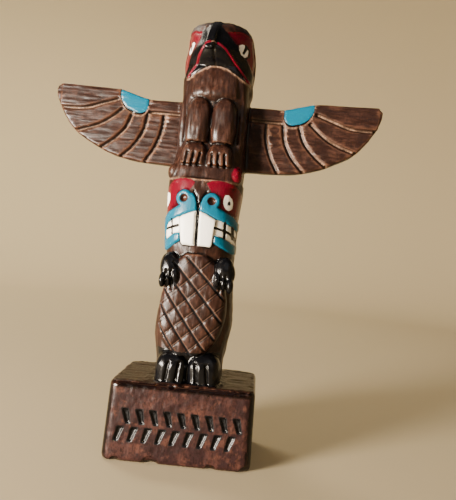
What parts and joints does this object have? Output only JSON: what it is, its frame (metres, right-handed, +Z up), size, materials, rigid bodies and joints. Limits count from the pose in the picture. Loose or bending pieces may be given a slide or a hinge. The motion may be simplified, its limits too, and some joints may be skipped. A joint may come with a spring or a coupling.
{
  "type": "souvenir totem pole",
  "caption": "Small cast totem pole: a thunderbird with spread wings above a beaver with a cross-hatched tail, on a block base; painted to look like carved wood",
  "frame": {"origin": "centre of the underside of the base block, on the surface that the pole stands on", "axes": "+Z up along the pole, -Y towards the viewer of the carved front, +X to that viewer's right"},
  "size_m": [0.1391, 0.037, 0.178],
  "materials": {
    "painted_resin": "gloss"
  },
  "bodies": {
    "root": {"totem_pole": "painted_resin"}
  },
  "joints": []
}
